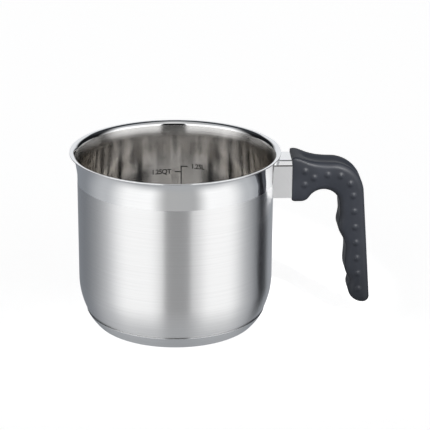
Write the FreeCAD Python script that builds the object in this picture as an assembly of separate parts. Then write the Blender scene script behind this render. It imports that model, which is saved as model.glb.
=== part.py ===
"""Milk pan: a drawn steel vessel with a flared rim and a spout, a sandwich base and a moulded side grip.

Millimetres, +Z up. The origin is the centre of the underside of the base, and +X points to the grip.
"""
import FreeCAD
import Part
import math
import os

Vector = FreeCAD.Vector

# Vessel, drawn from one sheet
inside_diameter = 140.0
vessel_sheet = 0.6
rim_height = 128.4
flare_radius = 5.2
flare_turn = 80.0
lip_run = 1.5
corner_start = 34.0
corner_radius = 54.0
heel_radius = 7.5
seam_height = 9.5

# Pouring spout pressed into the rim, opposite the grip
spout_depth = 2.9
spout_height = 18.0
spout_top_radius = 27.0
spout_foot_radius = 9.0
spout_foot_set_back = 0.5

# Sandwich base
cap_sheet = 0.5
cap_draw_in = 6.6
cap_bulge = 0.5
foot_edge_round = 1.2
core_edge_gap = 0.3
seam_gap = 0.05

# Folded guard between the wall and the grip
guard_length = 12.6
guard_width = 27.0
guard_height = 27.5
guard_chamfer = 3.2
guard_sheet = 0.8
guard_below_rim = 4.8
guard_wall_gap = 0.2
guard_neck_gap = 0.15

# Welded bracket with its tongue
bracket_sheet = 2.0
tongue_width = 14.0
tongue_height = 13.0
tongue_below_guard = 5.1
tongue_in_grip = 20.0
tongue_end_gap = 1.0
tongue_side_gap = 0.2
ear_side_gap = 0.7
ear_top_gap = 0.9
ear_height = 15.0
bend_round = 2.4
weld_film = 0.05

# Screw that holds the grip, with its nut and washer
screw_diameter = 5.0
screw_from_front = 8.5
screw_head_diameter = 9.0
screw_head_height = 3.0
screw_head_chamfer = 0.8
screw_recess_width = 1.2
screw_recess_length = 5.0
screw_recess_depth = 1.6
screw_tip_gap = 0.4
screw_hole_gap = 0.3
head_pocket_gap = 0.7
seat_wall = 6.0
nut_flats = 8.0
nut_sides = 6
nut_height = 4.0
thread_gap = 0.1
washer_height = 1.2
washer_wall = 1.9
washer_split = 1.0

# Moulded grip: the outline seen from the side, then the width
lip_start_rise = 1.9
lip_crest_rise = 3.4
lip_crest_run = 3.0
lip_foot_run = 9.5
arm_dip = 2.3
arm_thickness = 20.1
grip_reach = 52.6
shoulder_radius = 24.0
back_lean = 4.7
grip_drop = 110.8
chin_radius = 11.4
chin_depth = 15.3
arch_depth = 17.2
block_drop = 31.4
block_run = 7.0
block_round = 7.0
grip_front_width = 28.0
grip_side_taper = 2.1
grip_drop_taper = 0.5
edge_round_share_of_tail = 0.85
lip_round_share = 0.4
block_front_round = 3.0
neck_length = 4.0
neck_above_guard_edge = 1.0

# Finger edge: control points as the depth from the back face and the share of the way from arch to chin
finger_edge = [
    (17.2, 0.13),
    (22.2, 0.29),
    (12.8, 0.455),
    (19.1, 0.79),
    (11.9, 0.90),
]
finger_start_share = 0.05
finger_end_share = 0.96

# Raised dots on both sides of the grip
dot_diameter = 4.8
dot_height = 1.0
dot_inset = 8.0
dot_first_angle = 101.5
dot_step_angle = 34.5
dots_on_shoulder = 4
dots_on_back = 6
trio_from_front = 9.0
trio_step = 6.7
trio_spacing = 10.1
trio_drop = 12.6

# Two places closer than this are the same place
touching = 0.01

# Places worked out from the sizes above
bore_radius = inside_diameter / 2
wall_radius = bore_radius + vessel_sheet
flare_angle = math.radians(flare_turn)
flare_rise = flare_radius * math.sin(flare_angle) + lip_run * math.cos(flare_angle)
wall_top = rim_height - flare_rise
seam_angle = math.asin((corner_start - seam_height) / corner_radius)
seam_radius = wall_radius - corner_radius * (1 - math.cos(seam_angle))
heel_centre_radius = seam_radius - heel_radius * math.cos(seam_angle)
heel_centre_height = seam_height + heel_radius * math.sin(seam_angle)
vessel_underside = heel_centre_height - heel_radius
cap_top_radius = seam_radius + seam_gap + cap_sheet / math.cos(seam_angle)
cap_foot_radius = cap_top_radius - cap_draw_in
guard_top = rim_height - guard_below_rim
guard_bottom = guard_top - guard_height
grip_front = wall_radius + guard_length
tongue_top = guard_top - tongue_below_guard
tongue_bottom = tongue_top - tongue_height
tongue_end = grip_front + tongue_in_grip
screw_x = grip_front + screw_from_front
washer_top = tongue_bottom - seat_wall
washer_bottom = washer_top - washer_height


def side_point(x, z):
    """Point in the upright plane through the pan's axis and the grip."""
    return Vector(x, 0, z)


def line(start, end):
    return Part.LineSegment(start, end).toShape()


def arc(start, middle, end):
    return Part.Arc(start, middle, end).toShape()


def on_circle(centre_x, centre_z, radius, angle):
    return side_point(centre_x + radius * math.cos(angle), centre_z + radius * math.sin(angle))


def round_arc(centre_x, centre_z, radius, start_angle, end_angle):
    """Arc about a centre, between two angles in radians."""
    middle_angle = (start_angle + end_angle) / 2
    return arc(
        on_circle(centre_x, centre_z, radius, start_angle),
        on_circle(centre_x, centre_z, radius, middle_angle),
        on_circle(centre_x, centre_z, radius, end_angle),
    )


def spin(edges):
    """Solid of revolution about the pan's axis."""
    face = Part.Face(Part.Wire(edges))
    return face.revolve(Vector(0, 0, 0), Vector(0, 0, 1), 360)


def box(x_range, y_range, z_range):
    size = [high - low for low, high in (x_range, y_range, z_range)]
    return Part.makeBox(size[0], size[1], size[2], Vector(x_range[0], y_range[0], z_range[0]))


def upright_cylinder(radius, bottom, top, x=0.0):
    return Part.makeCylinder(radius, top - bottom, Vector(x, 0, bottom))


def sheet_face(inset):
    """Vessel's section from the middle of the floor to the lip, on one face of the sheet."""
    down = -math.pi / 2
    floor_end = on_circle(heel_centre_radius, heel_centre_height, heel_radius - inset, down)
    corner_centre = wall_radius - corner_radius
    flare_centre = bore_radius + flare_radius
    flare_face = flare_radius - vessel_sheet + inset
    wall_foot = side_point(wall_radius - inset, corner_start)
    wall_head = side_point(wall_radius - inset, wall_top)
    lip_start = on_circle(flare_centre, wall_top, flare_face, math.pi - flare_angle)
    lip_end = lip_start + side_point(math.sin(flare_angle), math.cos(flare_angle)) * lip_run
    return [
        line(side_point(0, floor_end.z), floor_end),
        round_arc(heel_centre_radius, heel_centre_height, heel_radius - inset, down, -seam_angle),
        round_arc(corner_centre, corner_start, corner_radius - inset, -seam_angle, 0),
        line(wall_foot, wall_head),
        round_arc(flare_centre, wall_top, flare_face, math.pi, math.pi - flare_angle),
        line(lip_start, lip_end),
    ]


def last_point(edges):
    return edges[-1].Vertexes[-1].Point


def drawn_vessel():
    outside = sheet_face(0)
    inside = sheet_face(vessel_sheet)
    floor = line(outside[0].Vertexes[0].Point, inside[0].Vertexes[0].Point)
    lip = line(last_point(outside), last_point(inside))
    return spin(Part.__sortEdges__(outside + inside + [floor, lip]))


def inside_space():
    """All that lies within the vessel, up to the level of its lip."""
    inside = sheet_face(vessel_sheet)
    lip_level = side_point(0, last_point(inside).z)
    level = line(last_point(inside), lip_level)
    axis = line(lip_level, inside[0].Vertexes[0].Point)
    return spin(Part.__sortEdges__(inside + [level, axis]))


def flat_circle(x, z, radius):
    return Part.Wire(Part.makeCircle(radius, side_point(x, z)))


def spout_form(outset):
    """Tapered punch that presses the spout, widened by an outset on all sides."""
    foot_x = spout_foot_radius + spout_foot_set_back - bore_radius
    top_x = spout_top_radius - spout_depth - bore_radius
    foot = flat_circle(foot_x, rim_height - spout_height, spout_foot_radius + outset)
    top = flat_circle(top_x, rim_height, spout_top_radius + outset)
    return Part.makeLoft([foot, top], True, True)


def pan_body():
    spout_wall = spout_form(vessel_sheet).cut(inside_space())
    return drawn_vessel().fuse(spout_wall).cut(spout_form(0)).removeSplitter()


def cap_arc():
    """Centre and radius of the base cap's outer side, from its foot, its top edge and its bulge."""
    foot = side_point(cap_foot_radius, 0)
    top = side_point(cap_top_radius, seam_height)
    chord = top - foot
    radius = (chord.Length ** 2 / 4 + cap_bulge ** 2) / (2 * cap_bulge)
    outward = side_point(chord.z, -chord.x).normalize()
    centre = (foot + top) / 2 - outward * (radius - cap_bulge)
    return centre, radius


def cap_side(inset, height):
    """Point on the side of the base cap at a height, that far inside the outer face."""
    centre, radius = cap_arc()
    run = math.sqrt((radius - inset) ** 2 - (height - centre.z) ** 2)
    return side_point(centre.x + run, height)


def cap_side_arc(inset, bottom, top):
    return arc(cap_side(inset, bottom), cap_side(inset, (bottom + top) / 2), cap_side(inset, top))


def foot_round():
    """Small round between the cap's underside and its side: its centre, and where the side starts."""
    centre, radius = cap_arc()
    reach = radius - foot_edge_round
    run = math.sqrt(reach ** 2 - (foot_edge_round - centre.z) ** 2)
    round_centre = side_point(centre.x + run, foot_edge_round)
    side_start = centre + (round_centre - centre) * (radius / reach)
    return round_centre, side_start


def base_cap():
    round_centre, side_start = foot_round()
    start_angle = math.atan2(side_start.z - round_centre.z, side_start.x - round_centre.x)
    return spin([
        line(side_point(0, 0), side_point(round_centre.x, 0)),
        round_arc(round_centre.x, round_centre.z, foot_edge_round, -math.pi / 2, start_angle),
        cap_side_arc(0, side_start.z, seam_height),
        line(cap_side(0, seam_height), cap_side(cap_sheet, seam_height)),
        cap_side_arc(cap_sheet, cap_sheet, seam_height),
        line(cap_side(cap_sheet, cap_sheet), side_point(0, cap_sheet)),
        line(side_point(0, cap_sheet), side_point(0, 0)),
    ])


def base_core():
    inset = cap_sheet + core_edge_gap
    bottom = cap_sheet
    top = vessel_underside
    return spin([
        line(side_point(0, bottom), cap_side(inset, bottom)),
        cap_side_arc(inset, bottom, top),
        line(cap_side(inset, top), side_point(0, top)),
        line(side_point(0, top), side_point(0, bottom)),
    ])


def hood(inset, start, end, bottom):
    """Block with the guard's section, moved in from its outer face, between two places along X."""
    half = guard_width / 2 - inset
    top = guard_top - inset
    chamfer = guard_chamfer - inset * (2 - math.sqrt(2))
    corners = [
        Vector(start, -half, bottom),
        Vector(start, -half, top - chamfer),
        Vector(start, chamfer - half, top),
        Vector(start, half - chamfer, top),
        Vector(start, half, top - chamfer),
        Vector(start, half, bottom),
    ]
    section = Part.Face(Part.makePolygon(corners + corners[:1]))
    return section.extrude(Vector(end - start, 0, 0))


def flame_guard():
    outer = hood(0, 0, grip_front, guard_bottom)
    inner = hood(guard_sheet, 0, grip_front, guard_bottom - guard_sheet)
    wall = upright_cylinder(wall_radius + guard_wall_gap, 0, rim_height)
    return outer.cut(inner).cut(wall)


def handle_bracket():
    half = tongue_width / 2
    inner_half = half - bracket_sheet
    channel = box((0, tongue_end), (-half, half), (tongue_bottom, tongue_top))
    bends = [edge for edge in channel.Edges if runs_along_x(edge) and edge.CenterOfMass.z > tongue_bottom]
    channel = channel.makeFillet(bend_round, bends)
    hollow_top = tongue_top - bracket_sheet
    hollow = box((0, tongue_end), (-inner_half, inner_half), (tongue_bottom - bracket_sheet, hollow_top))
    channel = channel.cut(hollow)

    wall_face = wall_radius + weld_film
    ear_top = guard_top - guard_chamfer - ear_top_gap
    ear_bottom = ear_top - ear_height
    ears = upright_cylinder(wall_face + bracket_sheet, ear_bottom, ear_top)
    ear_half = guard_width / 2 - guard_sheet - ear_side_gap
    ears = ears.common(box((0, grip_front), (-ear_half, ear_half), (ear_bottom, ear_top)))
    ears = ears.cut(box((0, grip_front), (-inner_half, inner_half), (ear_bottom, hollow_top)))

    hole_radius = screw_diameter / 2 + screw_hole_gap
    hole = upright_cylinder(hole_radius, hollow_top, tongue_top, screw_x)
    wall = upright_cylinder(wall_face, 0, rim_height)
    return channel.fuse(ears).cut(wall).cut(hole).removeSplitter()


def runs_along_x(edge):
    first, last = [vertex.Point for vertex in edge.Vertexes]
    return abs(first.y - last.y) + abs(first.z - last.z) < touching


def bracket_nut():
    top = tongue_top - bracket_sheet
    corner_reach = nut_flats / 2 / math.cos(math.pi / nut_sides)
    corners = []
    for side in range(nut_sides):
        angle = 2 * math.pi * side / nut_sides
        reach = Vector(math.cos(angle), math.sin(angle), 0) * corner_reach
        corners.append(Vector(screw_x, 0, top - nut_height) + reach)
    body = Part.Face(Part.makePolygon(corners + corners[:1])).extrude(Vector(0, 0, nut_height))
    return body.cut(upright_cylinder((screw_diameter + thread_gap) / 2, top - nut_height, top, screw_x))


def fixing_screw():
    head_bottom = washer_bottom - screw_head_height
    tip = tongue_top - screw_tip_gap
    head = upright_cylinder(screw_head_diameter / 2, head_bottom, washer_bottom, screw_x)
    rim = [edge for edge in head.Edges if abs(edge.CenterOfMass.z - head_bottom) < touching]
    head = head.makeChamfer(screw_head_chamfer, rim)
    shank = upright_cylinder(screw_diameter / 2, washer_bottom, tip, screw_x)
    screw = head.fuse(shank).removeSplitter()
    long_half = screw_recess_length / 2
    short_half = screw_recess_width / 2
    depth = (head_bottom, head_bottom + screw_recess_depth)
    across_x = box((screw_x - long_half, screw_x + long_half), (-short_half, short_half), depth)
    across_y = box((screw_x - short_half, screw_x + short_half), (-long_half, long_half), depth)
    return screw.cut(across_x.fuse(across_y))


def lock_washer():
    hole_radius = screw_diameter / 2 + thread_gap
    ring = upright_cylinder(hole_radius + washer_wall, washer_bottom, washer_top, screw_x)
    ring = ring.cut(upright_cylinder(hole_radius, washer_bottom, washer_top, screw_x))
    split_end = screw_x + hole_radius + washer_wall
    split_half = washer_split / 2
    return ring.cut(box((screw_x, split_end), (-split_half, split_half), (washer_bottom, washer_top)))


# Grip outline, in the upright plane: the shoulder arc and the straight back face drive the rest
lean = math.radians(back_lean)
shoulder_x = grip_front + grip_reach - shoulder_radius
shoulder_z = guard_top - arm_dip - shoulder_radius
back_start = on_circle(shoulder_x, shoulder_z, shoulder_radius, lean)
chin_z = guard_top - grip_drop + chin_radius


def back_x(z):
    """Back face of the grip at a height."""
    return back_start.x + (back_start.z - z) * math.tan(lean)


chin_x = back_x(chin_z) - chin_depth + chin_radius
tail_bottom = guard_top - grip_drop
tail_gap = (back_x(tail_bottom) - chin_x) * math.cos(lean)
tail_radius = tail_gap / (1 + math.sin(lean))
finger_x = back_start.x - arch_depth
arm_bottom = guard_top - arm_dip - arm_thickness
block_bottom = guard_top - block_drop
block_x = grip_front + block_run
block_z = block_bottom + block_round


def arch_fit():
    """Radius of the arch that touches the finger edge, the arm's underside and the block's round."""
    across = finger_x - block_x
    below = block_z - arm_bottom
    half_sum = across - below + block_round
    return half_sum - math.sqrt(half_sum ** 2 - across ** 2 - below ** 2 + block_round ** 2)


arch_radius = arch_fit()
arch_x = finger_x - arch_radius
arch_z = arm_bottom - arch_radius


def curve(poles):
    """Smooth curve that starts and ends along the first and last legs of its control points."""
    spline = Part.BSplineCurve()
    spline.buildFromPoles(poles)
    return spline.toShape()


def top_edge():
    """Raised lip by the guard, running down into the flat of the arm."""
    arm_top = shoulder_z + shoulder_radius
    lip_foot_x = grip_front + lip_foot_run
    return curve([
        side_point(grip_front, guard_top + lip_start_rise),
        side_point(grip_front + lip_crest_run, guard_top + lip_crest_rise),
        side_point(lip_foot_x, guard_top),
        side_point((lip_foot_x + shoulder_x) / 2, arm_top),
        side_point(shoulder_x, arm_top),
    ])


def tail_edges():
    """Straight back face, small round at the tail and large round of the chin."""
    down = -math.pi / 2
    tail_z = tail_bottom + tail_radius
    back_end = on_circle(chin_x, tail_z, tail_radius, lean)
    return [
        line(back_start, back_end),
        round_arc(chin_x, tail_z, tail_radius, lean, down),
        round_arc(chin_x, chin_z, chin_radius, down, -math.pi),
    ]


def finger_height(share):
    return arch_z + (chin_z - arch_z) * share


def finger_curve():
    """Inner edge with its finger grooves, from the arch down to the chin."""
    chin_end_x = chin_x - chin_radius
    poles = [side_point(finger_x, arch_z), side_point(finger_x, finger_height(finger_start_share))]
    for depth, share in finger_edge:
        z = finger_height(share)
        poles.append(side_point(back_x(z) - depth, z))
    poles.append(side_point(chin_end_x, finger_height(finger_end_share)))
    poles.append(side_point(chin_end_x, chin_z))
    return curve(poles)


def underside_edges():
    """Arch for the first finger, then the rounded underside of the block by the guard."""
    turn = math.atan2(block_z - arch_z, block_x - arch_x)
    block_start = side_point(block_x, block_bottom)
    return [
        round_arc(arch_x, arch_z, arch_radius, 0, turn),
        round_arc(block_x, block_z, block_round, turn - math.pi, -math.pi / 2),
        line(block_start, side_point(grip_front, block_bottom)),
    ]


def half_width(point):
    along = (point.x - grip_front) / grip_reach * grip_side_taper
    down = (guard_top - point.z) / grip_drop * grip_drop_taper
    return grip_front_width / 2 - along - down


def grip_sides():
    """Block between the two flat side faces, which close in towards the back and the tail."""
    past_back = back_x(tail_bottom) + grip_front_width
    below_tail = tail_bottom - grip_front_width
    above_lip = guard_top + grip_front_width
    corners = [
        side_point(grip_front, below_tail),
        side_point(past_back, below_tail),
        side_point(past_back, above_lip),
        side_point(grip_front, above_lip),
    ]
    near = [corner - Vector(0, half_width(corner), 0) for corner in corners]
    far = [corner + Vector(0, half_width(corner), 0) for corner in corners]
    near_side = Part.makePolygon(near + near[:1])
    far_side = Part.makePolygon(far + far[:1])
    return Part.makeLoft([near_side, far_side], True, True)


def grip_blank():
    shoulder = round_arc(shoulder_x, shoulder_z, shoulder_radius, math.pi / 2, lean)
    front = line(side_point(grip_front, block_bottom), side_point(grip_front, guard_top + lip_start_rise))
    edges = [front, top_edge(), shoulder] + tail_edges() + [finger_curve()] + underside_edges()
    outline = Part.Face(Part.Wire(Part.__sortEdges__(edges)))
    outline.translate(Vector(0, -grip_front_width, 0))
    return outline.extrude(Vector(0, 2 * grip_front_width, 0)).common(grip_sides()).Solids[0]


def edge_round_at(point):
    """Round of the side edges at a point: small where the lip meets the guard, full from the shoulder on."""
    full_round = edge_round_share_of_tail * tail_radius
    at_lip = point.x < grip_front + touching and point.z > guard_top
    return full_round * lip_round_share if at_lip else full_round


def side_edge_rounds(blank):
    """Number of each side edge with the round at its two ends, those along the lip first."""
    rounds = []
    for number, edge in enumerate(blank.Edges, 1):
        middle = edge.valueAt((edge.FirstParameter + edge.LastParameter) / 2)
        on_side = abs(abs(middle.y) - half_width(middle)) < touching
        if on_side and middle.x > grip_front + touching:
            first = edge.valueAt(edge.FirstParameter)
            last = edge.valueAt(edge.LastParameter)
            rounds.append((number, edge_round_at(first), edge_round_at(last)))
    return sorted(rounds, key=lambda entry: entry[1] == entry[2])


def rounded_grip():
    document = FreeCAD.newDocument()
    blank = document.addObject("Part::Feature", "blank")
    blank.Shape = grip_blank()
    rounded = document.addObject("Part::Fillet", "rounded")
    rounded.Base = blank
    rounded.Edges = side_edge_rounds(blank.Shape)
    document.recompute()
    return rounded.Shape


def block_corner():
    """What the round at the block's lower front edge takes away."""
    centre_x = grip_front + block_front_round
    centre_z = block_bottom + block_front_round
    corner = box((grip_front, centre_x), (-grip_front_width, grip_front_width), (block_bottom, centre_z))
    start = Vector(centre_x, -grip_front_width, centre_z)
    return corner.cut(Part.makeCylinder(block_front_round, 2 * grip_front_width, start, Vector(0, 1, 0)))


def dot_places():
    places = []
    trio_z = guard_top - trio_drop
    trio_x = grip_front + trio_from_front
    places.append(side_point(trio_x, trio_z + trio_spacing / 2))
    places.append(side_point(trio_x, trio_z - trio_spacing / 2))
    places.append(side_point(trio_x + trio_step, trio_z))
    for number in range(dots_on_shoulder):
        angle = math.radians(dot_first_angle - number * dot_step_angle)
        places.append(on_circle(shoulder_x, shoulder_z, shoulder_radius - dot_inset, angle))
    row_start = places[-1].z
    row_pitch = (row_start - chin_z) / dots_on_back
    for number in range(dots_on_back):
        z = row_start - (number + 1) * row_pitch
        places.append(side_point(back_x(z) - dot_inset, z))
    return places


def grip_dots():
    """Low domes that stand out of the flat side faces."""
    dome_radius = ((dot_diameter / 2) ** 2 + dot_height ** 2) / (2 * dot_height)
    domes = []
    for place in dot_places():
        centre = half_width(place) + dot_height - dome_radius
        for side in (-1, 1):
            domes.append(Part.makeSphere(dome_radius, place + Vector(0, side * centre, 0)))
    return domes


def handle_grip():
    grip = rounded_grip().cut(block_corner())
    neck_inset = guard_sheet + guard_neck_gap
    neck = hood(neck_inset, grip_front - neck_length, grip_front, guard_bottom + neck_above_guard_edge)
    grip = grip.fuse([neck] + grip_dots())

    socket_half = tongue_width / 2 + tongue_side_gap
    socket_x = (grip_front - neck_length, tongue_end + tongue_end_gap)
    socket = box(socket_x, (-socket_half, socket_half), (tongue_bottom, tongue_top + tongue_side_gap))
    hole = upright_cylinder(screw_diameter / 2 + screw_hole_gap, block_bottom, tongue_bottom, screw_x)
    head_radius = screw_head_diameter / 2 + head_pocket_gap
    head_pocket = upright_cylinder(head_radius, block_bottom - block_round, washer_top, screw_x)
    return grip.cut(socket).cut(hole).cut(head_pocket).removeSplitter()


pieces = {
    "pan_body": pan_body,
    "base_core": base_core,
    "base_cap": base_cap,
    "handle_bracket": handle_bracket,
    "bracket_nut": bracket_nut,
    "flame_guard": flame_guard,
    "handle_grip": handle_grip,
    "fixing_screw": fixing_screw,
    "lock_washer": lock_washer,
}

os.makedirs("parts", exist_ok=True)
for name, make in pieces.items():
    solid = make()
    print(name, "valid", solid.isValid(), "solids", len(solid.Solids), "volume", round(solid.Volume, 1))
    solid.exportStep("parts/" + name + ".step")
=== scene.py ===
import math

import bpy
from mathutils import Matrix, Vector
from mathutils.kdtree import KDTree


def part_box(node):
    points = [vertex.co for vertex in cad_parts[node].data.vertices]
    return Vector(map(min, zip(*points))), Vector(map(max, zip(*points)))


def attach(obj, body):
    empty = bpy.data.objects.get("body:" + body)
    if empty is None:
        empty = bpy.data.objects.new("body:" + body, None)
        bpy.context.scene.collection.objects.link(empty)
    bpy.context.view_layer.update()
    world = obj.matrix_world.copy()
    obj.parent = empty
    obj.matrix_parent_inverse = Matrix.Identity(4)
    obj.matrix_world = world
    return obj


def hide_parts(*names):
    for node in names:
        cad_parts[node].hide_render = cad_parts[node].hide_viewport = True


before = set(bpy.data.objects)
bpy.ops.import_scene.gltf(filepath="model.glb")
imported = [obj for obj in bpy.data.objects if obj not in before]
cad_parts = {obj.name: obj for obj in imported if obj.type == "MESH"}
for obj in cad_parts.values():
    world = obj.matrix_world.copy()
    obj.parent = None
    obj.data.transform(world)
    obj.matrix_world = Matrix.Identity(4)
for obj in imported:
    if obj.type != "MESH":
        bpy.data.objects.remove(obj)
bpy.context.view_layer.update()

# Vessel: one sheet of stainless steel, deep drawn to a round bowl with a flared rim and a small spout
# pressed in opposite the grip. It is brushed round and round inside and out, and the rim and the band
# below it are polished bright. Everything else is fixed to it.
mm = 0.001
weld_distance = 0.01 * mm
vessel_sheet = 0.6 * mm
bore_radius = 70 * mm
rim_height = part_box("pan_body")[1].z
floor_height = 6 * mm
heel_radius = 6.9 * mm
corner_radius = 53.4 * mm
corner_start = 34 * mm
corner_turn = math.radians(27)
mouth_radius = 42 * mm
mouth_turn = math.radians(14)
flare_turn = math.radians(80)
flare_run = 4.3 * mm
lip_run = 1.5 * mm
lip_round = 0.2 * mm
polished_band = 21.1 * mm
vessel_steps = 480
spout_height = 18 * mm
spout_depth = 2.9 * mm
spout_top_radius = 27 * mm
spout_foot_radius = 9 * mm
spout_foot_set_back = 0.5 * mm
spout_blend = 1.2 * mm
satin_below_mouth = 3 * mm
wall_slot = 1
band_slot = 2

mouth_run = mouth_radius * (1 - math.cos(mouth_turn))
flare_radius = (flare_run - mouth_run) / (math.cos(mouth_turn) - math.cos(flare_turn))
flare_centre = bore_radius + mouth_run + flare_radius * math.cos(mouth_turn)
flare_level = rim_height - lip_run * math.cos(flare_turn) - flare_radius * math.sin(flare_turn)
flare_foot = flare_level + flare_radius * math.sin(mouth_turn)
mouth_foot = flare_foot - mouth_radius * math.sin(mouth_turn)
mouth_centre = bore_radius + mouth_radius
band_foot = rim_height - polished_band
corner_centre = bore_radius - corner_radius
heel_centre = corner_centre + (corner_radius - heel_radius) * math.cos(corner_turn)
heel_middle = floor_height + 0.5 * heel_radius


def arc(centre, height, radius, start, end, count):
    """Points of a round stretch of a section, without its first point."""
    points = []
    for number in range(1, count + 1):
        angle = start + (end - start) * number / count
        points.append((centre + radius * math.cos(angle), height + radius * math.sin(angle)))
    return points


def rows(radius, low, high, pitch):
    """Points up a straight stretch of a section, without its first point."""
    count = max(1, round((high - low) / pitch))
    return [(radius, low + (high - low) * number / count) for number in range(1, count + 1)]


def vessel_section():
    """Inside face of the vessel, from the middle of the floor to the lip."""
    heel_level = floor_height + heel_radius
    mouth_end = math.pi - mouth_turn
    flare_end = math.pi - flare_turn
    section = [(0, floor_height), (heel_centre / 2, floor_height), (heel_centre, floor_height)]
    section += arc(heel_centre, heel_level, heel_radius, -math.pi / 2, -corner_turn, count=10)
    section += arc(corner_centre, corner_start, corner_radius, -corner_turn, 0, count=14)
    section += rows(bore_radius, corner_start, band_foot, pitch=8 * mm)
    section += rows(bore_radius, band_foot, mouth_foot, pitch=1.2 * mm)
    section += arc(mouth_centre, mouth_foot, mouth_radius, math.pi, mouth_end, count=10)
    section += arc(flare_centre, flare_level, flare_radius, mouth_end, flare_end, count=20)
    lip_x, lip_z = section[-1]
    section.append((lip_x + lip_run * math.sin(flare_turn), lip_z + lip_run * math.cos(flare_turn)))
    return section


def start_piece(name):
    """Names the primitive that was just added and opens it for editing."""
    piece = bpy.context.object
    piece.name = name
    piece.data.name = name
    bpy.ops.object.mode_set(mode="EDIT")
    return piece


def spin_section(name, section, steps):
    """Draws a section point by point in the XZ plane and spins it about the pan's axis."""
    bpy.ops.object.select_all(action="DESELECT")
    bpy.ops.mesh.primitive_plane_add(size=mm, location=(section[0][0], 0, section[0][1]))
    bpy.ops.object.transform_apply(location=True)
    piece = start_piece(name)
    bpy.ops.mesh.merge(type="CENTER")
    for (x, z), (next_x, next_z) in zip(section, section[1:]):
        bpy.ops.mesh.extrude_vertices_move(TRANSFORM_OT_translate={"value": (next_x - x, 0, next_z - z)})
    bpy.ops.mesh.select_all(action="SELECT")
    bpy.ops.mesh.spin(steps=steps, angle=2 * math.pi, center=(0, 0, 0), axis=(0, 0, 1))
    bpy.ops.mesh.select_all(action="SELECT")
    bpy.ops.mesh.remove_doubles(threshold=weld_distance)
    bpy.ops.mesh.normals_make_consistent(inside=False)
    bpy.ops.object.mode_set(mode="OBJECT")
    return piece


def spout_reach(turn, height):
    """How far from the pan's axis the pressed spout lies, at an angle from its middle and a height."""
    share = 1 - (rim_height - height) / spout_height
    foot_centre = bore_radius - spout_foot_set_back - spout_foot_radius
    top_centre = bore_radius + spout_depth - spout_top_radius
    centre = foot_centre + (top_centre - foot_centre) * share
    radius = spout_foot_radius + (spout_top_radius - spout_foot_radius) * share
    across = centre * math.sin(turn)
    if share < 0 or abs(across) >= radius or abs(turn) > math.pi / 2:
        return 0
    return centre * math.cos(turn) + math.sqrt(radius ** 2 - across ** 2)


def press_spout(vessel):
    """Moves the wall out to the spout, with a soft bend where the two meet."""
    for vertex in vessel.data.vertices:
        x, y, z = vertex.co
        radius = math.hypot(x, y)
        reach = spout_reach(math.atan2(y, -x), z)
        overlap = max(spout_blend - abs(radius - reach), 0) / spout_blend
        pressed = max(radius, reach) + overlap ** 2 * spout_blend / 4
        if pressed > radius > 0:
            vertex.co.x = x * pressed / radius
            vertex.co.y = y * pressed / radius


def apply_modifier(piece, kind, **settings):
    """Adds a modifier with these settings to a piece and applies it."""
    bpy.context.view_layer.objects.active = piece
    modifier = piece.modifiers.new(kind, kind)
    for name, value in settings.items():
        setattr(modifier, name, value)
    bpy.ops.object.modifier_apply(modifier=modifier.name)


def smooth(piece, angle):
    """Shades a piece smooth, except at edges that bend more than an angle in degrees."""
    bpy.ops.object.select_all(action="DESELECT")
    piece.select_set(True)
    bpy.context.view_layer.objects.active = piece
    bpy.ops.object.shade_smooth_by_angle(angle=math.radians(angle))


def wire(tree, kind, inputs, output=0, **settings):
    """Adds a shader node, sets or links its inputs, and gives back one of its outputs."""
    node = tree.nodes.new("ShaderNode" + kind)
    for name, value in settings.items():
        setattr(node, name, value)
    for key, value in inputs.items():
        if isinstance(value, bpy.types.NodeSocket):
            tree.links.new(value, node.inputs[key])
        else:
            node.inputs[key].default_value = value
    return node.outputs[output]


def maths(tree, operation, first, second):
    """Combines two values, each a number or the output of a node."""
    return wire(tree, "Math", {0: first, 1: second}, operation=operation)


def mixed(tree, share, first, second):
    """Mixes two colours. Inputs 6 and 7 of a Mix node hold them, and output 2 gives the mix."""
    return wire(tree, "Mix", {0: share, 6: first, 7: second}, 2, data_type="RGBA")


def own_place(tree):
    """Place of a point in the pan's own frame, which every pattern follows."""
    return wire(tree, "TexCoord", {}, "Object")


def new_material(name, **constants):
    """Material with a Principled shader whose constant sockets are set by name."""
    material = bpy.data.materials.new(name)
    material.use_nodes = True
    shader = material.node_tree.nodes["Principled BSDF"]
    for socket, value in constants.items():
        shader.inputs[socket.replace("_", " ")].default_value = value
    return material, material.node_tree, shader


def spread(tree, value, low, high):
    """Maps a noise value, which lies mostly between 0.3 and 0.7, to a range."""
    return wire(tree, "MapRange", {
        "Value": value, "From Min": 0.3, "From Max": 0.7, "To Min": low, "To Max": high})


def tinted(tree, value, colour, swing):
    """Colour that goes a little darker and lighter with a noise value."""
    dark = [channel * (1 - swing) for channel in colour] + [1]
    light = [min(channel * (1 + swing), 1) for channel in colour] + [1]
    return mixed(tree, spread(tree, value, 0, 1), dark, light)


def brushing(tree, lines_per_metre):
    """Noise drawn out into fine lines that run round the pan's axis, on walls and on flat floors alike."""
    split = wire(tree, "SeparateXYZ", {0: own_place(tree)}).node.outputs
    flat = wire(tree, "CombineXYZ", {0: split[0], 1: split[1]})
    radius = wire(tree, "VectorMath", {0: flat}, "Value", operation="LENGTH")
    along = maths(tree, "ADD", split[2], radius)
    across_lines = maths(tree, "MULTIPLY", along, lines_per_metre)
    slow = wire(tree, "VectorMath", {0: flat, "Scale": 12}, operation="SCALE")
    slow = wire(tree, "SeparateXYZ", {0: slow}).node.outputs
    drawn_out = wire(tree, "CombineXYZ", {0: slow[0], 1: slow[1], 2: across_lines})
    return wire(tree, "TexNoise", {"Vector": drawn_out, "Scale": 1, "Detail": 3, "Roughness": 0.6}, "Fac")


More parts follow.
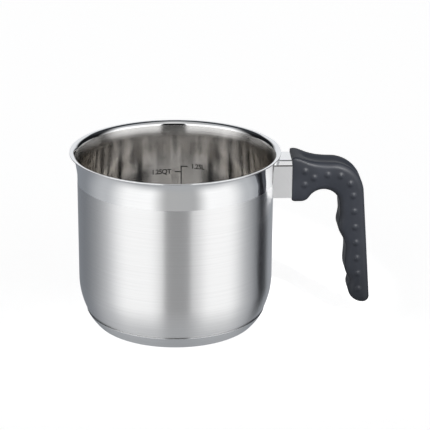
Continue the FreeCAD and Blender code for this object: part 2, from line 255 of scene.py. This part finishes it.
def brushed_steel(name, colour, finest, coarsest, anisotropy, lines_per_metre, swing):
    """Metal with fine lines round the pan's axis, which draw its reflections out."""
    material, tree, shader = new_material(
        name, Metallic=1, Anisotropic=anisotropy, Anisotropic_Rotation=0.25)
    lines = brushing(tree, lines_per_metre)
    tangent = wire(tree, "Tangent", {}, direction_type="RADIAL", axis="Z")
    rough = spread(tree, lines, finest, coarsest)
    bump = wire(tree, "Bump", {"Strength": 0.01, "Distance": 0.02 * mm, "Height": lines})
    tree.links.new(tinted(tree, lines, colour, swing), shader.inputs["Base Color"])
    tree.links.new(rough, shader.inputs["Roughness"])
    tree.links.new(bump, shader.inputs["Normal"])
    tree.links.new(tangent, shader.inputs["Tangent"])
    return material


def polished_steel(name, colour, roughness, cloudiness=0.3):
    """Bright steel with a faint haze and hardly any lines."""
    material, tree, shader = new_material(name, Metallic=1)
    haze = wire(tree, "TexNoise", {"Vector": own_place(tree), "Scale": 90, "Detail": 4}, "Fac")
    lines = brushing(tree, lines_per_metre=2500)
    smoothest = roughness * (1 - cloudiness)
    dullest = roughness * (1 + cloudiness)
    tree.links.new(tinted(tree, lines, colour, swing=0.02), shader.inputs["Base Color"])
    tree.links.new(spread(tree, haze, smoothest, dullest), shader.inputs["Roughness"])
    return material


def satin_towards(steel, start, end, gain):
    """Lets a bright finish grow rougher from one height to another, up or down."""
    tree = steel.node_tree
    roughness = tree.nodes["Principled BSDF"].inputs["Roughness"]
    bright = roughness.links[0].from_socket
    height = wire(tree, "SeparateXYZ", {0: own_place(tree)}).node.outputs[2]
    satin = wire(tree, "MapRange", {
        "Value": height, "From Min": start, "From Max": end, "To Min": 0, "To Max": gain})
    tree.links.new(maths(tree, "ADD", bright, satin), roughness)


bowl_steel = brushed_steel(
    "bowl_steel", (0.81, 0.8, 0.787),
    finest=0.05, coarsest=0.09, anisotropy=0.95, lines_per_metre=1300, swing=0.04)
satin_towards(bowl_steel, mouth_foot - satin_below_mouth, flare_foot, gain=0.2)
satin_towards(bowl_steel, heel_middle, floor_height, gain=0.08)
wall_steel = brushed_steel(
    "wall_steel", (0.95, 0.95, 0.95),
    finest=0.28, coarsest=0.32, anisotropy=0.97, lines_per_metre=1100, swing=0.035)
band_steel = polished_steel("band_steel", (0.92, 0.925, 0.93), roughness=0.07)

vessel = spin_section("vessel", vessel_section(), vessel_steps)
floor_face = min(vessel.data.polygons, key=lambda face: face.center.length)
if floor_face.normal.z < 0:
    vessel.data.flip_normals()
press_spout(vessel)
for steel in (bowl_steel, wall_steel, band_steel):
    vessel.data.materials.append(steel)
apply_modifier(
    vessel, "SOLIDIFY", thickness=vessel_sheet, offset=-1,
    material_offset=wall_slot, material_offset_rim=band_slot)
apply_modifier(
    vessel, "BEVEL", width=lip_round, segments=3, limit_method="ANGLE", angle_limit=math.radians(60))
for face in vessel.data.polygons:
    outside_band = face.material_index == wall_slot and face.center.z > band_foot
    if outside_band or face.center.z > flare_foot:
        face.material_index = band_slot
smooth(vessel, angle=40)
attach(vessel, "root")
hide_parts("pan_body")

# Capacity marks: a litre scale and a quart scale on the far side of the bowl, printed in dark grey ink on
# either side of one upright line.
mark_lift = 0.06 * mm
mark_width = 0.75 * mm
mark_turn = math.radians(4.75)
top_mark = 93 * mm
litre = 0.001
litre_height = litre / (math.pi * bore_radius ** 2)
quart_in_litres = 0.946
mark_steps = (1.25, 1, 0.75, 0.5)
tick_length = 4.9 * mm
figure_size = 5.3 * mm
figure_gap = 2.6 * mm
figure_weight = 0.08 * mm
figure_spacing = 0.9


def mark_height(litres):
    """Height of the level that a volume comes to."""
    return top_mark - (mark_steps[0] - litres) * litre_height


def ink_strip(left, right, low, high):
    """Flat strip of ink, laid out on the unrolled wall: X along the wall, Y up it."""
    bpy.ops.object.select_all(action="DESELECT")
    bpy.ops.mesh.primitive_plane_add(size=1, location=((left + right) / 2, (low + high) / 2, 0))
    strip = start_piece("ink")
    bpy.ops.transform.resize(value=(right - left, high - low, 1))
    bpy.ops.mesh.subdivide(number_cuts=4)
    bpy.ops.object.mode_set(mode="OBJECT")
    bpy.ops.object.transform_apply(location=True)
    return strip


def ink_figures(text, edge, height, align):
    """Figures laid out on the unrolled wall, level with their tick."""
    bpy.ops.object.select_all(action="DESELECT")
    bpy.ops.object.text_add(location=(edge, height, 0))
    figures = bpy.context.object
    figures.data.body = text
    figures.data.size = figure_size
    figures.data.space_character = figure_spacing
    figures.data.offset = figure_weight
    figures.data.align_x = align
    figures.data.align_y = "CENTER"
    bpy.ops.object.convert(target="MESH")
    bpy.ops.object.transform_apply(location=True)
    return figures


def roll_onto_wall(piece):
    """Wraps the unrolled marks onto the far side of the bowl."""
    radius = bore_radius - mark_lift
    for vertex in piece.data.vertices:
        turn = mark_turn + vertex.co.x / bore_radius
        vertex.co = (radius * math.sin(turn), radius * math.cos(turn), vertex.co.y)


half_mark = mark_width / 2
lowest_mark = mark_height(mark_steps[-1] * quart_in_litres)
inks = [ink_strip(-half_mark, half_mark, lowest_mark, top_mark + half_mark)]
for step in mark_steps:
    litre_level = mark_height(step)
    quart_level = mark_height(step * quart_in_litres)
    inks.append(ink_strip(0, tick_length, litre_level - half_mark, litre_level + half_mark))
    inks.append(ink_strip(-tick_length, 0, quart_level - half_mark, quart_level + half_mark))
    inks.append(ink_figures(f"{step:g}L", tick_length + figure_gap, litre_level, "LEFT"))
    inks.append(ink_figures(f"{step:g}QT", -tick_length - figure_gap, quart_level, "RIGHT"))

bpy.ops.object.select_all(action="DESELECT")
for ink in inks:
    ink.select_set(True)
bpy.context.view_layer.objects.active = inks[0]
bpy.ops.object.join()
marks = bpy.context.object
marks.name = "capacity_marks"
roll_onto_wall(marks)

mark_ink, tree, shader = new_material("mark_ink", Specular_IOR_Level=0.3)
grain = wire(tree, "TexNoise", {"Vector": own_place(tree), "Scale": 3000}, "Fac")
tree.links.new(tinted(tree, grain, (0.028, 0.027, 0.027), swing=0.3), shader.inputs["Base Color"])
tree.links.new(spread(tree, grain, low=0.45, high=0.65), shader.inputs["Roughness"])
marks.data.materials.clear()
marks.data.materials.append(mark_ink)
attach(marks, "root")

# Base: an aluminium disc pressed between the vessel and a drawn steel cap, which covers its edge. The cap's
# rim is rolled to a thin bright bead that lies against the vessel and shows as a fine seam above the foot.
cap_rim_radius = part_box("base_cap")[1].x
cap_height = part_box("base_cap")[1].z
cap_sheet = 0.5 * mm
cap_draw_in = 6.6 * mm
cap_bulge = 0.4 * mm
cap_colour = (0.8, 0.81, 0.82)
foot_round = 1.2 * mm
foot_turn = math.radians(45)
bead_round = 0.24 * mm
bead_proud = 0.1 * mm
bead_start = math.radians(-60)
bead_slot = 1


def bulged(start, end, bulge, count):
    """Points of a shallow curve that swells out between two points of a section, without its first."""
    run = end[0] - start[0]
    rise = end[1] - start[1]
    length = math.hypot(run, rise)
    points = []
    for number in range(1, count + 1):
        share = number / count
        swell = 4 * bulge * share * (1 - share)
        x = start[0] + run * share + swell * rise / length
        z = start[1] + rise * share - swell * run / length
        points.append((x, z))
    return points


def cap_section():
    """Section of the cap: underside, foot, side, rolled bead, and back down the inside."""
    foot_radius = cap_rim_radius - cap_draw_in
    foot_centre = foot_radius - foot_round * math.tan(foot_turn / 2)
    bead_centre = cap_rim_radius + bead_proud - bead_round
    foot_end = foot_turn - math.pi / 2
    section = [(0, 0), (foot_centre / 2, 0), (foot_centre, 0)]
    section += arc(foot_centre, foot_round, foot_round, -math.pi / 2, foot_end, count=5)
    section += bulged(section[-1], (cap_rim_radius, cap_height - bead_round), cap_bulge, count=12)
    section += arc(bead_centre, cap_height, bead_round, bead_start, math.pi, count=14)
    section += bulged(section[-1], (foot_radius - cap_sheet, cap_sheet), -cap_bulge, count=8)
    return section + [(0, cap_sheet)]


def dress(node, material):
    """Gives a node of the frame its finished material."""
    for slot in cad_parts[node].material_slots:
        slot.material = material


cap_steel = brushed_steel(
    "cap_steel", cap_colour,
    finest=0.3, coarsest=0.38, anisotropy=0.8, lines_per_metre=2400, swing=0.04)
cap = spin_section("base_shell", cap_section(), vessel_steps)
cap.data.materials.append(cap_steel)
cap.data.materials.append(polished_steel("bead_steel", cap_colour, roughness=0.12))
for face in cap.data.polygons:
    if face.center.z > cap_height - bead_round:
        face.material_index = bead_slot
smooth(cap, angle=40)
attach(cap, "root")
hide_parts("base_cap")

core_metal = brushed_steel(
    "core_metal", (0.8, 0.8, 0.81),
    finest=0.4, coarsest=0.5, anisotropy=0.2, lines_per_metre=900, swing=0.06)
dress("base_core", core_metal)

# Bracket and fixing: a folded steel channel welded to the wall, with a nut welded inside. One screw with a
# split washer comes up through the grip and pulls it onto the channel.
press_unevenness = 0.08


def plain_steel(name, colour, roughness):
    """Bare steel as it comes from the press, with a faint cloudy surface."""
    material, tree, shader = new_material(name, Metallic=1)
    cloud = wire(tree, "TexNoise", {"Vector": own_place(tree), "Scale": 400, "Detail": 5}, "Fac")
    bump = wire(tree, "Bump", {"Strength": 0.1, "Distance": 0.05 * mm, "Height": cloud})
    rough = spread(tree, cloud, roughness - press_unevenness, roughness + press_unevenness)
    tree.links.new(tinted(tree, cloud, colour, swing=0.1), shader.inputs["Base Color"])
    tree.links.new(rough, shader.inputs["Roughness"])
    tree.links.new(bump, shader.inputs["Normal"])
    return material


dress("handle_bracket", plain_steel("pressed_steel", (0.6, 0.59, 0.57), roughness=0.38))
fastener_steel = plain_steel("plated_steel", (0.68, 0.68, 0.67), roughness=0.28)
for node in ("bracket_nut", "fixing_screw", "lock_washer"):
    dress(node, fastener_steel)

# Flame guard: a strip of thin steel folded over the bracket, with two bevelled shoulders. It fills the
# space between the wall and the grip and is clamped between them. Its sides are satin and the rest is
# polished.
guard_low, guard_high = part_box("flame_guard")
guard_size = guard_high - guard_low
guard_start = bore_radius / 2
guard_middle = (guard_low.z + guard_high.z) / 2
guard_chamfer = 3.2 * mm
guard_sheet = 0.8 * mm
guard_bend = 0.9 * mm
guard_edge_round = 0.12 * mm
guard_wall_gap = 0.2 * mm
guard_colour = (0.96, 0.962, 0.965)
open_facing = 0.9
side_facing = 0.99
side_slot = 1


def select_edges(piece, test):
    """Selects, in edit mode, the edges whose two ends pass a test."""
    bpy.ops.mesh.select_mode(type="EDGE")
    bpy.ops.mesh.select_all(action="DESELECT")
    bpy.ops.object.mode_set(mode="OBJECT")
    for edge in piece.data.edges:
        first, last = [piece.data.vertices[end].co for end in edge.vertices]
        edge.select = test(first, last)
    bpy.ops.object.mode_set(mode="EDIT")


def select_faces(piece, test):
    """Selects, in edit mode, the faces that pass a test."""
    bpy.ops.mesh.select_mode(type="FACE")
    bpy.ops.mesh.select_all(action="DESELECT")
    bpy.ops.object.mode_set(mode="OBJECT")
    for face in piece.data.polygons:
        face.select = test(face)
    bpy.ops.object.mode_set(mode="EDIT")


def along_top(first, last):
    """Tells whether an edge runs out from the wall, in the guard's upper half."""
    straight_out = abs(first.y - last.y) + abs(first.z - last.z) < weld_distance
    return straight_out and first.z > guard_middle


def left_open(face):
    """Tells whether a face closes an end or the underside, which the folded strip leaves open."""
    return abs(face.normal.x) > open_facing or face.normal.z < -open_facing


bpy.ops.object.select_all(action="DESELECT")
bpy.ops.mesh.primitive_cube_add(size=1)
guard = start_piece("guard_hood")
bpy.ops.transform.resize(value=(guard_high.x - guard_start, guard_size.y, guard_size.z))
bpy.ops.transform.translate(value=((guard_high.x + guard_start) / 2, 0, guard_middle))
select_edges(guard, along_top)
bpy.ops.mesh.bevel(offset=guard_chamfer, segments=1, affect="EDGES")
select_edges(guard, along_top)
bpy.ops.mesh.bevel(offset=guard_bend, segments=4, affect="EDGES")
select_faces(guard, left_open)
bpy.ops.mesh.delete(type="FACE")
bpy.ops.object.mode_set(mode="OBJECT")
apply_modifier(guard, "SOLIDIFY", thickness=guard_sheet, offset=-1)
wall_face = bore_radius + vessel_sheet + guard_wall_gap
bpy.ops.object.select_all(action="DESELECT")
bpy.ops.mesh.primitive_cylinder_add(vertices=vessel_steps, radius=wall_face, depth=2 * rim_height)
wall_form = bpy.context.object
bpy.ops.mesh.primitive_cone_add(
    vertices=vessel_steps, radius1=wall_face, radius2=wall_face + mouth_run,
    depth=flare_foot - mouth_foot, location=(0, 0, (flare_foot + mouth_foot) / 2))
mouth_form = bpy.context.object
for form in (wall_form, mouth_form):
    apply_modifier(guard, "BOOLEAN", object=form, operation="DIFFERENCE", solver="EXACT")
    bpy.data.objects.remove(form)
apply_modifier(
    guard, "BEVEL", width=guard_edge_round, segments=2, limit_method="ANGLE", angle_limit=math.radians(50))
smooth(guard, angle=30)
apply_modifier(guard, "WEIGHTED_NORMAL", keep_sharp=True)
guard.data.materials.append(polished_steel("guard_steel", guard_colour, roughness=0.1))
guard.data.materials.append(
    polished_steel("guard_side_steel", guard_colour, roughness=0.38, cloudiness=0.04))
for face in guard.data.polygons:
    if abs(face.normal.y) > side_facing:
        face.material_index = side_slot
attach(guard, "root")
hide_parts("flame_guard")

# Grip: one moulding of heat-proof plastic, slate grey and matt, with finger grooves inside, a shallow
# trough for the thumb on top, and softly crowned sides with raised dots. It is pushed over the bracket's
# tongue and held by the screw.
grip_low, grip_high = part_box("handle_grip")
grip_front = guard_high.x
grip_mesh_size = 0.5 * mm
socket_clear = 8 * mm
front_clear = 1 * mm
edge_facing = 0.5
crown = 1 * mm
crown_reach = 10 * mm
crown_full = 12 * mm
trough_half = 8 * mm
trough_depth = 1.4 * mm
trough_start = grip_low.x + 8 * mm
trough_full = grip_low.x + 16 * mm
trough_floor = grip_high.z - 16 * mm


def ramp(value, low, high):
    """Rises smoothly from 0 to 1 as a value runs from low to high."""
    share = min(max((value - low) / (high - low), 0), 1)
    return share * share * (3 - 2 * share)


def side_outline(piece):
    """Search tree of the points on the grip's side edges, seen from the side."""
    points = []
    for vertex in piece.data.vertices:
        x, y, z = vertex.co
        on_edge = abs(vertex.normal.y) < edge_facing and abs(y) > socket_clear
        if on_edge and x > grip_front + front_clear:
            points.append((x, 0, z))
    outline = KDTree(len(points))
    for number, point in enumerate(points):
        outline.insert(point, number)
    outline.balance()
    return outline


def side_crown(vertex, outline):
    """How far a point of the grip's sides lies inside their middle, which stands out a little."""
    x, y, z = vertex.co
    if x < grip_front:
        return 0
    distance = outline.find((x, 0, z))[2]
    share = max(1 - distance / crown_reach, 0)
    return crown * share ** 2 * ramp(abs(y), socket_clear, crown_full)


def thumb_trough(vertex):
    """How far a point of the grip's top sinks to form the trough."""
    across = abs(vertex.co.y) / trough_half
    if across >= 1 or vertex.co.z < trough_floor:
        return 0
    along = ramp(vertex.co.x, trough_start, trough_full) * ramp(vertex.normal.z, low=0.2, high=0.8)
    return trough_depth * along * math.cos(across * math.pi / 2) ** 2


grip = bpy.data.objects.new("grip_moulding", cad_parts["handle_grip"].data.copy())
bpy.context.collection.objects.link(grip)
bpy.ops.object.select_all(action="DESELECT")
grip.select_set(True)
bpy.context.view_layer.objects.active = grip
bpy.ops.object.mode_set(mode="EDIT")
bpy.ops.mesh.select_all(action="SELECT")
bpy.ops.mesh.remove_doubles(threshold=weld_distance)
bpy.ops.mesh.customdata_custom_splitnormals_clear()
bpy.ops.object.mode_set(mode="OBJECT")
apply_modifier(grip, "REMESH", mode="VOXEL", voxel_size=grip_mesh_size)
outline = side_outline(grip)
places = []
for vertex in grip.data.vertices:
    sunk = vertex.co - vertex.normal * thumb_trough(vertex)
    sunk.y -= math.copysign(side_crown(vertex, outline), sunk.y)
    places.append(sunk)
for vertex, place in zip(grip.data.vertices, places):
    vertex.co = place
apply_modifier(grip, "SMOOTH", factor=0.5, iterations=5)
smooth(grip, angle=60)

grip_plastic, tree, shader = new_material("grip_plastic", Specular_IOR_Level=0.38)
place = own_place(tree)
grain = wire(tree, "TexNoise", {"Vector": place, "Scale": 2600, "Detail": 3}, "Fac")
cloud = wire(tree, "TexNoise", {"Vector": place, "Scale": 55, "Detail": 4}, "Fac")
matt = spread(tree, cloud, low=0.48, high=0.56)
rough = maths(tree, "ADD", matt, spread(tree, grain, low=-0.04, high=0.04))
bump = wire(tree, "Bump", {"Strength": 0.25, "Distance": 0.05 * mm, "Height": grain})
tree.links.new(tinted(tree, cloud, (0.02, 0.0228, 0.0305), swing=0.12), shader.inputs["Base Color"])
tree.links.new(rough, shader.inputs["Roughness"])
tree.links.new(bump, shader.inputs["Normal"])
grip.data.materials.clear()
grip.data.materials.append(grip_plastic)
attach(grip, "root")
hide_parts("handle_grip")

# Studio: a white floor in a tent of soft light, which the bright steel mirrors. The tent is built in
# storeys, each with its own bright panels, dark gap at the camera and grey sides. A small spot lamp at the
# right brings out the forms of the grip.
mirror_bounces = 32
light_level = 0.5
front_turn = math.radians(-1.18)
full_turn = 360
tint_reach = 150
red_loss = 0.2
green_loss = 0.12
low_tent = [
    (-180, 0.95), (-172, 0.95), (-166, 0.28), (-134, 0.27), (-90, 0.53), (-55, 1.02), (-32, 1.04),
    (-8, 0.44), (20, 0.44), (42, 1.04), (62, 1.02), (95, 0.52), (113, 0.36), (117, 0.02), (133, 0.02),
    (139, 0.42), (173, 0.42), (178, 0.95), (180, 0.95),
]
middle_tent = [
    (-180, 0.85), (-162, 0.8), (-146, 0.012), (-104, 0.012), (-64, 1.35), (-14, 1.35), (-11.5, 0.02),
    (16, 0.02), (18, 1.35), (64, 1.35), (104, 0.012), (146, 0.012), (162, 0.8), (180, 0.85),
]
high_tent = [
    (-180, 0.04), (-110, 0.04), (-75, 0.9), (-14, 0.9), (-11.5, 0.02), (16, 0.02), (18, 0.9),
    (75, 0.9), (110, 0.04), (180, 0.04),
]
top_tent = [
    (-180, 0.04), (-130, 0.04), (-100, 0.5), (-24, 0.5), (-12, 0.8), (16, 0.8), (28, 0.5), (100, 0.5),
    (130, 0.04), (180, 0.04),
]
middle_begins = (-0.16, -0.1)
high_begins = (0.55, 0.62)
top_begins = (0.72, 0.78)
roof_begins = (0.95, 0.985)
ground_begins = (-0.5, -0.78)
roof_grey = (0.45, 0.455, 0.46, 1)
ground_grey = (0.41, 0.42, 0.435, 1)
spot_offset = Vector((6 * mm, 0, 16 * mm))
spot_turn = math.radians(28)
spot_height = math.radians(35)
spot_distance = 1.1
spot_angle = math.radians(7.4)
spot_blend = 0.35
spot_bulb = 0.03
spot_power = 66
floor_size = 12
floor_grey = (0.6, 0.6, 0.6)
floor_glow = 0.85
white = (1, 1, 1, 1)


def tent_wall(tree, turn, levels):
    """Brightness all round the tent, from azimuths, positive to the right of the camera, and levels."""
    cloth = wire(tree, "ValToRGB", {0: turn})
    colours = cloth.node.color_ramp
    colours.interpolation = "EASE"
    while len(colours.elements) < len(levels):
        colours.elements.new(0.5)
    for element, (azimuth, level) in zip(colours.elements, levels):
        element.position = azimuth / full_turn + 0.5
        tint = (1 - min(level, 1)) * abs(azimuth) / tint_reach
        element.color = (level * (1 - red_loss * tint), level * (1 - green_loss * tint), level, 1)
    return cloth


def stacked(tree, height, begins, below, above):
    """Goes over from one colour to another between the two heights at which the second begins."""
    share = wire(
        tree, "MapRange", {"Value": height, "From Min": begins[0], "From Max": begins[1]},
        interpolation_type="SMOOTHSTEP")
    return mixed(tree, share, below, above)


scene = bpy.context.scene
scene.view_settings.view_transform = "Standard"
scene.cycles.max_bounces = mirror_bounces
scene.cycles.glossy_bounces = mirror_bounces
tent = bpy.data.worlds.new("tent")
scene.world = tent
tent.use_nodes = True
tree = tent.node_tree
direction = wire(tree, "TexCoord", {}, "Generated")
right, back, height = wire(tree, "SeparateXYZ", {0: direction}).node.outputs
forward = maths(tree, "MULTIPLY", back, -1)
turn = maths(tree, "ARCTAN2", right, forward)
turn = wire(tree, "MapRange", {
    "Value": turn, "From Min": front_turn - math.pi, "From Max": front_turn + math.pi})
around = tent_wall(tree, turn, low_tent)
around = stacked(tree, height, middle_begins, around, tent_wall(tree, turn, middle_tent))
around = stacked(tree, height, high_begins, around, tent_wall(tree, turn, high_tent))
around = stacked(tree, height, top_begins, around, tent_wall(tree, turn, top_tent))
around = stacked(tree, height, roof_begins, around, roof_grey)
around = stacked(tree, height, ground_begins, around, ground_grey)
rays = wire(tree, "LightPath", {}).node.outputs
mirrored = maths(tree, "MAXIMUM", rays["Is Glossy Ray"], rays["Is Transmission Ray"])
seen = maths(tree, "MAXIMUM", rays["Is Camera Ray"], mirrored)
strength = wire(tree, "MapRange", {"Value": seen, "To Min": light_level, "To Max": 1})
background = tree.nodes["Background"]
tree.links.new(mixed(tree, rays["Is Camera Ray"], around, white), background.inputs["Color"])
tree.links.new(strength, background.inputs["Strength"])

spot_aim = (grip_low + grip_high) / 2 + spot_offset
spot_reach = spot_distance * math.cos(spot_height)
spot_place = spot_aim + Vector((
    spot_reach * math.sin(spot_turn),
    -spot_reach * math.cos(spot_turn),
    spot_distance * math.sin(spot_height),
))
bpy.ops.object.light_add(type="SPOT", location=spot_place)
spot = bpy.context.object
spot.data.spot_size = spot_angle
spot.data.spot_blend = spot_blend
spot.data.shadow_soft_size = spot_bulb
spot.data.energy = spot_power
spot.rotation_euler = (spot_aim - spot_place).to_track_quat("-Z", "Y").to_euler()

bpy.ops.object.select_all(action="DESELECT")
bpy.ops.mesh.primitive_plane_add(size=floor_size)
floor = bpy.context.object
floor.name = "floor"
floor.visible_glossy = False
floor_white, tree, shader = new_material("floor_white", Roughness=1, Specular_IOR_Level=0)
paper = wire(tree, "TexNoise", {"Vector": own_place(tree), "Scale": 300}, "Fac")
tree.links.new(tinted(tree, paper, floor_grey, swing=0.01), shader.inputs["Base Color"])
rays = wire(tree, "LightPath", {}).node.outputs
glow = maths(tree, "MULTIPLY", rays["Is Camera Ray"], floor_glow)
shader.inputs["Emission Color"].default_value = white
tree.links.new(glow, shader.inputs["Emission Strength"])
floor.data.materials.append(floor_white)

# Camera: in front of the pan and a little above it, with the grip to the right, as in the photograph. Its
# place and turns were fitted to the outlines of the rim, the wall and the foot.
camera_place = Vector((-24.07, -1167.96, 505.1)) * mm
camera_yaw = math.radians(-2.59)
camera_pitch = math.radians(90 - 20.04)
camera_roll = math.radians(0.43)
bpy.ops.object.camera_add()
camera = bpy.context.object
camera.data.sensor_width = 36
camera.data.lens = 143.2
camera.data.clip_start = 0.01
camera.matrix_world = (
    Matrix.Translation(camera_place)
    @ Matrix.Rotation(camera_yaw, 4, "Z")
    @ Matrix.Rotation(camera_pitch, 4, "X")
    @ Matrix.Rotation(camera_roll, 4, "Z")
)
scene.camera = camera
